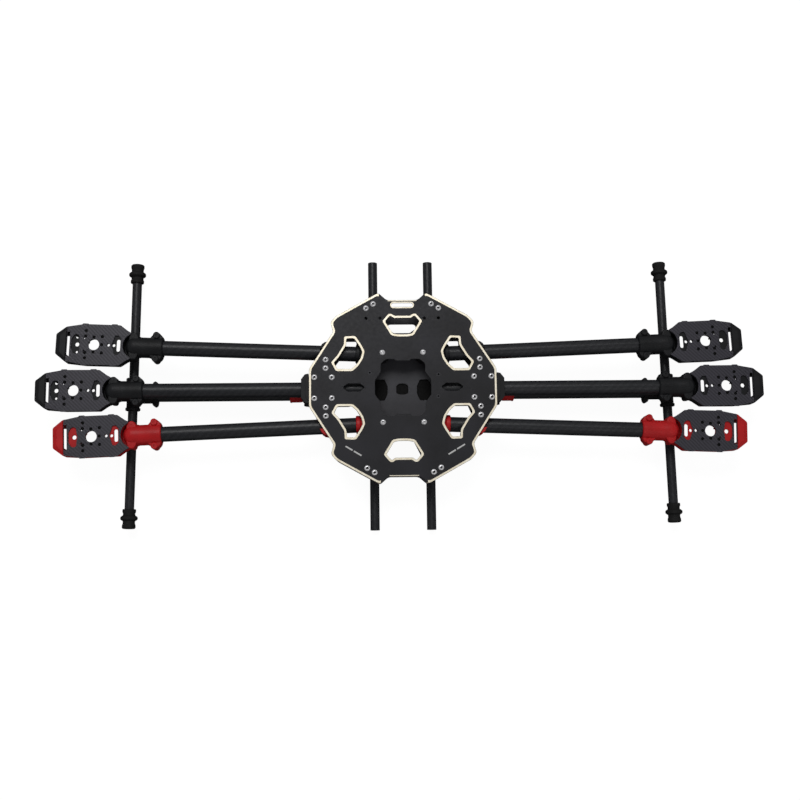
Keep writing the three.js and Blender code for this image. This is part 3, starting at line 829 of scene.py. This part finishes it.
# Holes are x, y and radius.
THROUGH_HOLES = [(17.6, 0, 2.25), (-20.9, 0, 1.6)]
FRONT_HOLES = [(17.6, 8.2, 1.3), (17.6, -8.2, 1.75)]
PLATE_HOLES = [(-15.5, 0, 1.6), (10.2, -6.7, 0.9), (10.2, 6.7, 0.9)]
MOTOR_SCREWS = [(8.7, 8.8), (8.7, -8.8), (-8.7, 8.8), (-8.7, -8.8), (0, 8), (0, -8), (-8.4, 0),
                (8.6, 14.6), (8.6, -14.6)]
WITH_FRONT_HOLES = ("front_left", "middle_left")


def stack(*levels):
    """A closed body through outlines of equal count, each with its height, the lowest first."""
    size = len(levels[0][0])
    vertices = [(x, y, z) for outline, z in levels for x, y in outline]
    faces = []
    for k in range(len(levels) - 1):
        low, high = k * size, (k + 1) * size
        faces += [(low + i, low + (i + 1) % size, high + (i + 1) % size, high + i) for i in range(size)]
    for k in (0, len(levels) - 1):
        flat = [[Vector((x, y, 0)) for x, y in levels[k][0]]]
        faces += [tuple(k * size + i for i in triangle) for triangle in tessellate_polygon(flat)]
    return mesh_of(vertices, faces)


def upright(profile, y0, y1, ease=0.3, holes=()):
    """An outline of (along, height) pairs standing between two places across."""
    return moved(slab(profile, list(holes), -y1, -y0, ease), turn("X", 90))


def wire_slot():
    middle, half_length, half_width = WIRE_SLOT
    return [(y + middle, x) for x, y in stadium(0, 0, half_length, half_width)]


def notch(steps=12):
    """The plate's curved edge round the barrel's nose, from its upper corner to its lower one."""
    reach = math.radians(64)
    angles = [reach - 2 * reach * k / steps for k in range(steps + 1)]
    middle = NOSE - NOSE_LENGTH
    return [(middle + (NOSE_LENGTH + NOTCH_GAP) * math.cos(a), (BARREL_R + NOTCH_GAP) * math.sin(a))
            for a in angles]


def motor_plate():
    sides = rounded(two_sides(PLATE_HALF), 0.8, 3)
    split = len(sides) // 2
    outline = sides[:split] + notch() + sides[split:]
    crescents = [rounded(crescent, 1, 3) for crescent in (OUTER_CRESCENT, INNER_CRESCENT)]
    holes = [circle(0, 0, SHAFT_HOLE_R, 40), *crescents, BELT_OPENING]
    holes += [circle(x, y, radius, 24) for x, y, radius in PLATE_HOLES]
    holes += [circle(x, y, 1.7, 24) for x, y in MOTOR_SCREWS]
    return slab(outline, holes, TRAY_TOP, PLATE_TOP, 0.15)


def mount_barrel():
    """The turned clamp round the tube's end, closed by a rounded nose."""
    shoulder = NOSE - NOSE_LENGTH
    nose = [(shoulder + NOSE_LENGTH * math.sin(a), BARREL_R * math.cos(a))
            for a in (math.radians(step) for step in range(0, 91, 9))]
    body = [(BARREL_END, 0), (BARREL_END, 10.4), (-71.1, 11.3), (-58.4, 11.3), (-57.4, 10.9), (-48.5, 10.9),
            (-47, BARREL_R)]
    return lathe(body + nose, 72)


def tray_underside(tray):
    """Hollows the tray from below, leaving ribs and a ring boss round the motor's shaft hole."""
    hollow = rounded([(-28, -16), (28.6, -15.5), (28.6, 15.5), (-28, 16)], 3)
    cap_hollow = rounded([(27, -11), (34, -11), (34, 11), (27, 11)], 2)
    pockets = [slab(outline, [], TRAY_BOTTOM - 4, 6, 1) for outline in (hollow, cap_hollow)]
    ring = slab(circle(0, 0, 9, 40), [], 4.8, 7, 0.4)
    reach = rounded([(-29, -17), (28.5, -16.5), (28.5, 16.5), (-29, 17)], 3)
    inside = slab(reach, [], TRAY_BOTTOM, 7, 0)
    ribs = [moved(box(8, 40, -0.8, 0.8, TRAY_BOTTOM + 1.6, 7), turn("Z", angle)) for angle in RIB_ANGLES]
    inner_ribs = [combined("INTERSECT", rib, [inside]) for rib in ribs]
    return join(cut(tray, *pockets), ring, *inner_ribs)


def mount_body(front_holes):
    """Tray, end cap and tube clamp in one moulding."""
    tray = slab(rounded(two_sides(TRAY_HALF), 0.9, 3), [], TRAY_BOTTOM, TRAY_TOP, 0.7, 3)
    groove = slab(notch() + [(-43, -12.7), (-43, 12.7)], [], -1, TRAY_TOP + 1, 0)
    tray = cut(tray_underside(tray), groove)
    base, face = rounded(CAP_BASE, 1.4), rounded(CAP_FACE, 1.4)
    cap = stack((base, 5.5), (base, TRAY_TOP + 0.2), (face, PLATE_TOP - 0.3), (inset(face, 0.4), PLATE_TOP))
    ears = slab(rounded(two_sides(EAR_HALF), 1.6), [], -EAR_TOP, EAR_TOP, 1.2, 3)
    lumps = slab(rounded(two_sides(LUMP_HALF), 1.6), [], -EAR_TOP, TRAY_TOP, 1.2, 3)
    bosses = [rod("z", radius, SCREW_FACE, top, x, side * y, 0.7)
              for radius, top, (x, y) in ((3.6, 8.6, EAR_SCREW), (2.8, 7, LUMP_SCREW)) for side in (1, -1)]
    whole = join(tray, cap, mount_barrel(), ears, lumps, *bosses)
    tall = (TRAY_BOTTOM - 9, TRAY_TOP + 9)
    holes = [circle(0, 0, SHAFT_HOLE_R + 0.3, 40), wire_slot(), rounded(BELT_SLOT, 0.5)]
    places = THROUGH_HOLES + PLATE_HOLES + (FRONT_HOLES if front_holes else [])
    holes += [circle(x, y, radius, 20) for x, y, radius in places]
    around = [(BARREL_END - 2, -20), (-49, -20), (-49, 20), (BARREL_END - 2, 20)]
    uncut = [(BARREL_END - 1, -10.6), (-50, -10.6), (-50, 10.6), (BARREL_END - 1, 10.6)]
    split = slab(around, [uncut], -SPLIT_HALF, SPLIT_HALF, 0)
    bore = lathe([(BARREL_END - 3, 0), (BARREL_END - 3, BORE_R), (-TUBE_SHORT + 0.1, BORE_R),
                  (-TUBE_SHORT + 0.1, 0)], 72)
    dimples = [rod("z", 1.2, 7.9, 9.5, EAR_SCREW[0], side * EAR_SCREW[1], 0) for side in (1, -1)]
    through = [slab(hole, [], *tall, 0) for hole in holes]
    return cut(whole, merged(*through, *dimples), bore, split)


def arm_axes(arm):
    """The place of an arm's motor centre in the model, its X running outwards along the tube."""
    inner, outer = centre_line(f"{arm}_arm_tube")
    matrix = axes_along(inner, outer)
    matrix.translation = outer + matrix.col[0].xyz * TUBE_SHORT
    return matrix


# ---- Tubes ----

TUBE_WALL = 1


def tube(length, radius):
    """A tube from x 0, with wrap coordinates in tow widths along it and round it."""
    rim = 0.25
    inner = radius - TUBE_WALL
    mesh = lathe([(0, inner + rim), (0, radius - rim), (rim, radius), (length - rim, radius),
                  (length, radius - rim), (length, inner + rim), (length - rim, inner), (rim, inner)], 72)
    layer = mesh.uv_layers.new(name="wrap")
    tows = TUBE_TOWS[radius]
    tow = 2 * math.pi * radius / tows
    for face in mesh.polygons:
        spots = [mesh.vertices[i].co for i in face.vertices]
        angles = [math.atan2(spot.z, spot.y) for spot in spots]
        if max(angles) - min(angles) > math.pi:
            angles = [angle + 2 * math.pi if angle < 0 else angle for angle in angles]
        for loop, spot, angle in zip(face.loop_indices, spots, angles):
            layer.data[loop].uv = (spot.x / tow, angle / (2 * math.pi) * tows)
    return mesh


def stand_in_tube(node, radius):
    inner, outer = centre_line(node)
    stand_in(node, tube((outer - inner).length, radius), axes_along(inner, outer))


# ---- Folding arm roots, with the fold pivot as origin ----

PIVOT_TO_MOTOR = 304.5
EYE_HALF = 11.7  # half the eye's height
EYE_R = 7.6
COLLAR_END = 28.4
FIN_ANGLES = (0, 60, 120, 180, 240, 300)


def arm_root():
    """The eye on the fold pivot and the socket that holds the tube."""
    upper = [(4.2, 7), (5, EYE_R), (EYE_HALF - 0.7, EYE_R), (EYE_HALF, 6.9), (EYE_HALF, 0)]
    lower = [(-height, radius) for height, radius in reversed(upper)]
    eye = moved(lathe(lower + upper, 56), turn("Y", -90))
    neck = upright(rounded([(0, -8.8), (14, -8.8), (14, 8.8), (0, 8.8)], 1), -6.5, 6.5, 0.8)
    socket = lathe([(8.6, 0), (8.6, 8.2), (9.4, 9), (23, 9), (24.4, 10), (27.6, 10), (COLLAR_END, 9.3),
                    (COLLAR_END, 0)], 72)
    fins = [moved(box(9.5, 23.6, 8.2, 9.9, -0.9, 0.9, 0.3), turn("X", angle)) for angle in FIN_ANGLES]
    whole = join(eye, neck, socket, *fins)
    bolt_hole = rod("z", BOLT_HOLE_R, -20, 20, ease=0)
    bore = lathe([(12.8, 0), (12.8, BORE_R), (40, BORE_R), (40, 0)], 72)
    return cut(whole, bolt_hole, bore)


def arms():
    """All six arms: tube, motor mount and motor plate, and on the four corner arms a root where the arm
    folds.
    """
    plate = motor_plate()
    root = arm_root()
    mounts = {front_holes: mount_body(front_holes) for front_holes in (True, False)}
    dots = merged(*(moved(screw_head(*MOTOR_HEAD), place(x, y, PLATE_TOP - 0.75)) for x, y in MOTOR_SCREWS))
    spots = [(x, side * y, 8.55) for x, y in (EAR_SCREW, LUMP_SCREW) for side in (1, -1)]
    clamp_screws = moved(at_places(screw_head(*EAR_HEAD), spots), turn("X", 180))
    for arm in ("front_left", "front_right", "middle_left", "middle_right", "rear_left", "rear_right"):
        axes = arm_axes(arm)
        body = HOME[f"{arm}_motor_mount"]
        stand_in_tube(f"{arm}_arm_tube", TUBE_R)
        stand_in(f"{arm}_motor_mount", mounts[arm in WITH_FRONT_HOLES], axes)
        stand_in(f"{arm}_motor_plate", plate, axes)
        put(f"{arm}_motor_plate_screws", dots, "foam", body, axes)
        put(f"{arm}_motor_mount_screws", clamp_screws, "black_steel", body, axes)
        if "middle" not in arm:
            stand_in(f"{arm}_arm_root", root, axes @ place(-PIVOT_TO_MOTOR))


# ---- Blocks between the hub plates ----

# What is trimmed off a fold clip's outer corner, so that it keeps inside the plates' sloping edge.
CLIP_RELIEF = [(93.4, 27), (92.2, 30), (83.9, 43), (99, 43), (99, 27)]


def blocks():
    for corner, (sx, sy) in CORNERS.items():
        relief = slab([(sx * x, sy * y) for x, y in CLIP_RELIEF], [], 20, 70, 0)
        clip = cut(recut(f"{corner}_fold_clip", 0.7), relief)
        stand_in(f"{corner}_fold_clip", clip)
        stand_in(f"{corner}_flight_lock", recut(f"{corner}_flight_lock", 0.7))
    for side in ("left", "right"):
        node = f"middle_{side}_clamp"
        stand_in(node, recut(node, 0.8))


# ---- Legs, drawn for the right-hand side ----

LEG_PIVOT_X = 99
LEG_Z = 19.5  # height of the leg pin and of the retracted leg
PIN_R = 2
PIN_HALF = 13.9
PIN_HOLE_R = 2.1
TEE_X = 289.5
TOE = 0.75  # degrees the skid turns from straight ahead
TEE_R = 6.9
TEE_HALF = 17.6
THIN_BORE_R = 5.2
HOLDER_HALF = 10.7
HOLDER_END = 121
SKID_HALF = 138
HOLDER_SOCKET = [(LEG_PIVOT_X, 0), (LEG_PIVOT_X, 7.8), (107.5, 9.4), (110, 9.9), (118.8, 9.9),
                 (119.4, 10.3), (120.4, 10.3), (HOLDER_END, 9.7), (HOLDER_END, 0)]
TEE_SOCKET = [(263.5, 0), (263.5, 9.2), (264.1, 9.8), (281, 9.8), (285.5, 7.4), (285.5, 0)]
TEE_EARS = [(262.3, 9), (263.2, 12.6), (265.4, 13.9), (267.6, 12.6), (268.8, 9)]
FOOT = [(0, 6.6), (0.5, 7.1), (3, 7.1), (4.2, 6.4), (6.3, 6.4), (7.4, 8), (8.2, 8.9), (9.5, 9.1),
        (10.8, 8.9), (11.6, 8), (12.7, 6.4), (15, 6.4), (16.2, 6.8), (17.2, 7.1), (19.6, 7.1),
        (20.6, 6.2), (20.9, 4.6)]


def on_skid():
    """The tee's centre, X running along the skid towards the nose."""
    return place(TEE_X, 0, LEG_Z) @ turn("Z", 90 + TOE)


def raised(mesh):
    return moved(mesh, place(z=LEG_Z))


def pin_hole():
    return rod("y", PIN_HOLE_R, -20, 20, LEG_PIVOT_X, LEG_Z, 0)


def retract_housing():
    """The box round the leg's motor, with a cheek on each side of the leg, and the screws of its cover."""
    low, high = node_box("right_retract_housing")
    outer = LEG_PIVOT_X - 12.5
    middle = (low.x + outer) / 2
    footprint = rounded([(low.x, -14), (outer, -14), (outer, 14), (low.x, 14)], 2.4)
    body = slab(footprint, [], low.z, high.z, 0.9, 3)
    cheeks = []
    for side in (1, -1):
        profile = [(84, 28.2), (84, 12.5), (LEG_PIVOT_X, 12.5)]
        profile += [(LEG_PIVOT_X + 7 * math.sin(a), LEG_Z - 7 * math.cos(a))
                    for a in (math.radians(step) for step in range(10, 171, 10))]
        profile += [(LEG_PIVOT_X, 28.2)]
        cheeks.append(upright(profile, *sorted((side * 11, side * 14)), 0.5))
    panel = rounded([(60, 13), (82, 13), (82, 25), (60, 25)], 1.5)
    panels = [upright(panel, y0, y1, 0) for y0, y1 in ((13.4, 16), (-16, -13.4))]
    ribs = [box(x - 0.7, x + 0.7, y - 0.5, y + 0.5, 13.5, 24.5, 0.2) for x in (64.5, 68.5, 72.5, 76.5)
            for y in (13.6, -13.6)]
    cover_face = low.z - 0.4
    cover_outline = rounded([(58, -12), (84.5, -12), (84.5, 12), (58, 12)], 2)
    cover = slab(cover_outline, [], cover_face, low.z + 1, 0.3)
    whole = cut(join(body, *cheeks), *panels, pin_hole())
    screws = [(middle + dx, dy, -cover_face) for dx in (-10.8, 10.8) for dy in (-9.6, 9.6)]
    heads = moved(at_places(screw_head(*SMALL_HEAD), screws), turn("X", 180))
    return join(whole, cover, *ribs), heads


def leg_holder():
    """The eye on the leg pin and the socket that holds the leg tube."""
    eye = rod("y", 8, -HOLDER_HALF, HOLDER_HALF, LEG_PIVOT_X, LEG_Z, 0.7, 48)
    socket = lathe(HOLDER_SOCKET, 72)
    bore = lathe([(104.7, 0), (104.7, BORE_R), (HOLDER_END + 9, BORE_R), (HOLDER_END + 9, 0)], 72)
    whole = join(raised(socket), eye)
    return cut(whole, raised(bore), pin_hole())


def leg_pin():
    shapes = [rod("y", PIN_R, -PIN_HALF, PIN_HALF, LEG_PIVOT_X, LEG_Z)]
    for side in (1, -1):
        spot = place(LEG_PIVOT_X, side * PIN_HALF, LEG_Z)
        shapes.append(moved(screw_head(*LEG_PIN_HEAD), spot @ turn("X", -90 * side)))
    return merged(*shapes)


def leg_tee():
    """The joint between the leg tube and the skid it carries."""
    collar = [(TEE_HALF - 3.4, TEE_R), (TEE_HALF - 2.8, TEE_R + 1), (TEE_HALF - 0.6, TEE_R + 1),
              (TEE_HALF, TEE_R + 0.4), (TEE_HALF, 0)]
    sleeve = lathe([(-along, radius) for along, radius in reversed(collar)] + collar, 64)
    socket = lathe(TEE_SOCKET, 72)
    ears = slab(rounded(two_sides(TEE_EARS), 1.2), [], -5.5, 5.5, 0.9, 3)
    whole = join(moved(sleeve, on_skid()), raised(socket), raised(ears))
    leg_bore = lathe([(255, 0), (255, BORE_R), (280.6, BORE_R), (280.6, 0)], 72)
    skid_bore = lathe([(-30, 0), (-30, THIN_BORE_R), (30, THIN_BORE_R), (30, 0)], 64)
    gap = box(255, 276, 9.9, 20, LEG_Z - SPLIT_HALF, LEG_Z + SPLIT_HALF)
    gaps = [gap, moved(gap.copy(), Matrix.Scale(-1, 4, (0, 1, 0)))]
    return cut(whole, raised(leg_bore), moved(skid_bore, on_skid()), *gaps)


def foot(end):
    """The rubber sleeve over one end of a skid, closed at its tip."""
    start = SKID_HALF - 15
    profile = [(start + along, radius) for along, radius in FOOT]
    bore_end = SKID_HALF + 0.2
    inside = [(SKID_HALF + 6.1, 0), (bore_end, 0), (bore_end, THIN_BORE_R), (start, THIN_BORE_R)]
    mesh = lathe(inside[1:] + profile + inside[:1], 64)
    return moved(mesh, on_skid() @ (turn("Z", 180) if end < 0 else Matrix()))


def legs():
    housing, housing_screws = retract_housing()
    drawn = {"retract_housing": housing, "leg_holder": leg_holder(), "leg_pin": leg_pin(),
             "leg_tee": leg_tee(), "front_foot": foot(1), "rear_foot": foot(-1)}
    to_left = Matrix.Scale(-1, 4, (1, 0, 0))
    for side in ("left", "right"):
        for kind, mesh in drawn.items():
            twin = moved(mesh.copy(), to_left) if side == "left" else mesh
            stand_in(f"{side}_{kind}", twin)
        screws = moved(housing_screws.copy(), to_left) if side == "left" else housing_screws
        put_screws(f"{side}_retract_housing_screws", screws)
        stand_in_tube(f"{side}_leg_tube", TUBE_R)
        stand_in_tube(f"{side}_skid_tube", THIN_TUBE_R)


# ---- Payload rails ----

RAIL_Z = 7.5
HANGER_SECTION = [(7, 28.5), (-7, 28.5), (-7, 19), (-6, 15.5), (-7, 12), (-7, 3), (-4, 0), (4, 0), (7, 3),
                  (7, 12), (6, 15.5), (7, 19)]
HANGER_SCREW_Z = 15.6


def rail_hanger():
    hole = circle(0, RAIL_Z, THIN_BORE_R, 40)
    block = upright(rounded(HANGER_SECTION, 1.2), -8, 8, 0.5, [hole])
    return cut(block, box(-0.5, 0.5, -9, 9, -1, 4))


def rails():
    hanger = rail_hanger()
    for side in ("left", "right"):
        stand_in_tube(f"{side}_rail", THIN_TUBE_R)
        for end in ("front", "rear"):
            node = f"{side}_{end}_rail_hanger"
            low, high = node_box(node)
            middle = (low + high) / 2
            stand_in(node, hanger, place(middle.x, middle.y))
            heads = []
            for face in (1, -1):
                spot = place(middle.x + face * 7, middle.y, HANGER_SCREW_Z)
                heads.append(moved(screw_head(*SMALL_HEAD), spot @ turn("Y", 90 * face)))
            put_screws(f"{node}_screws", merged(*heads))


# ---- Stage ----

FLOOR_HALF = 6.0  # metres, as are the places and sizes of the lights
FLOOR_DROP = 0.0005
SKY_FALL = (0.1, 0.6, 0.6, 0.19)  # two heights in the sky, and the brightness at each
SKY_EDGE = (-0.05, 0.05, 0.06, 1)  # two heights at the horizon, and the share of it left at each


def floor():
    """A white sheet that lights nothing and shows in no reflection."""
    mesh = bpy.data.meshes.new("floor")
    rim = [(sx * FLOOR_HALF, sy * FLOOR_HALF, 0) for sx, sy in ((-1, -1), (1, -1), (1, 1), (-1, 1))]
    mesh.from_pydata(rim, [], [(0, 1, 2, 3)])
    look = Look("floor", Roughness=0.9, Emission_Color=(1, 1, 1, 1), Emission_Strength=0.95)
    look.colour(look.between(look.noise(400), grey(0.09), grey(0.11)))
    mesh.materials.append(look.material)
    plane = bpy.data.objects.new("floor", mesh)
    plane.location.z = -FLOOR_DROP
    plane.visible_diffuse = False
    plane.visible_glossy = False
    add(plane)


def area_light(name, spot, target, size, energy):
    data = bpy.data.lights.new(name, "AREA")
    data.shape = "RECTANGLE"
    data.size, data.size_y = size
    data.energy = energy
    lamp = bpy.data.objects.new(name, data)
    lamp.location = spot
    lamp.rotation_euler = (Vector(target) - Vector(spot)).to_track_quat("-Z", "Y").to_euler()
    add(lamp)


def sky():
    """Dim overhead, pale at the horizon and nearly dark below it."""
    world = bpy.data.worlds.new("studio")
    bpy.context.scene.world = world
    world.use_nodes = True
    tree = world.node_tree
    split = tree.nodes.new("ShaderNodeSeparateXYZ")
    tree.links.new(tree.nodes.new("ShaderNodeTexCoord").outputs["Generated"], split.inputs[0])
    level = tree.nodes.new("ShaderNodeMath")
    level.operation = "MULTIPLY"
    for i, values in enumerate((SKY_FALL, SKY_EDGE)):
        ramp = tree.nodes.new("ShaderNodeMapRange")
        tree.links.new(split.outputs[2], ramp.inputs[0])
        for k, value in enumerate(values):
            ramp.inputs[k + 1].default_value = value
        tree.links.new(ramp.outputs[0], level.inputs[i])
    background = tree.nodes["Background"]
    tree.links.new(level.outputs[0], background.inputs[1])
    background.inputs[0].default_value = (1, 1, 1, 1)


def stage():
    floor()
    area_light("key", (-0.3, 1.15, 2.3), (0, 0, 0), (1.4, 1.0), 32)
    area_light("fill", (0.9, -1.2, 2.4), (0, 0, 0), (1.6, 1.6), 9)
    sky()
    bpy.context.scene.view_settings.view_transform = "Standard"


# ---- Everything ----

make_camera()
make_looks()
hub_plates()
arms()
blocks()
legs()
rails()
stage()
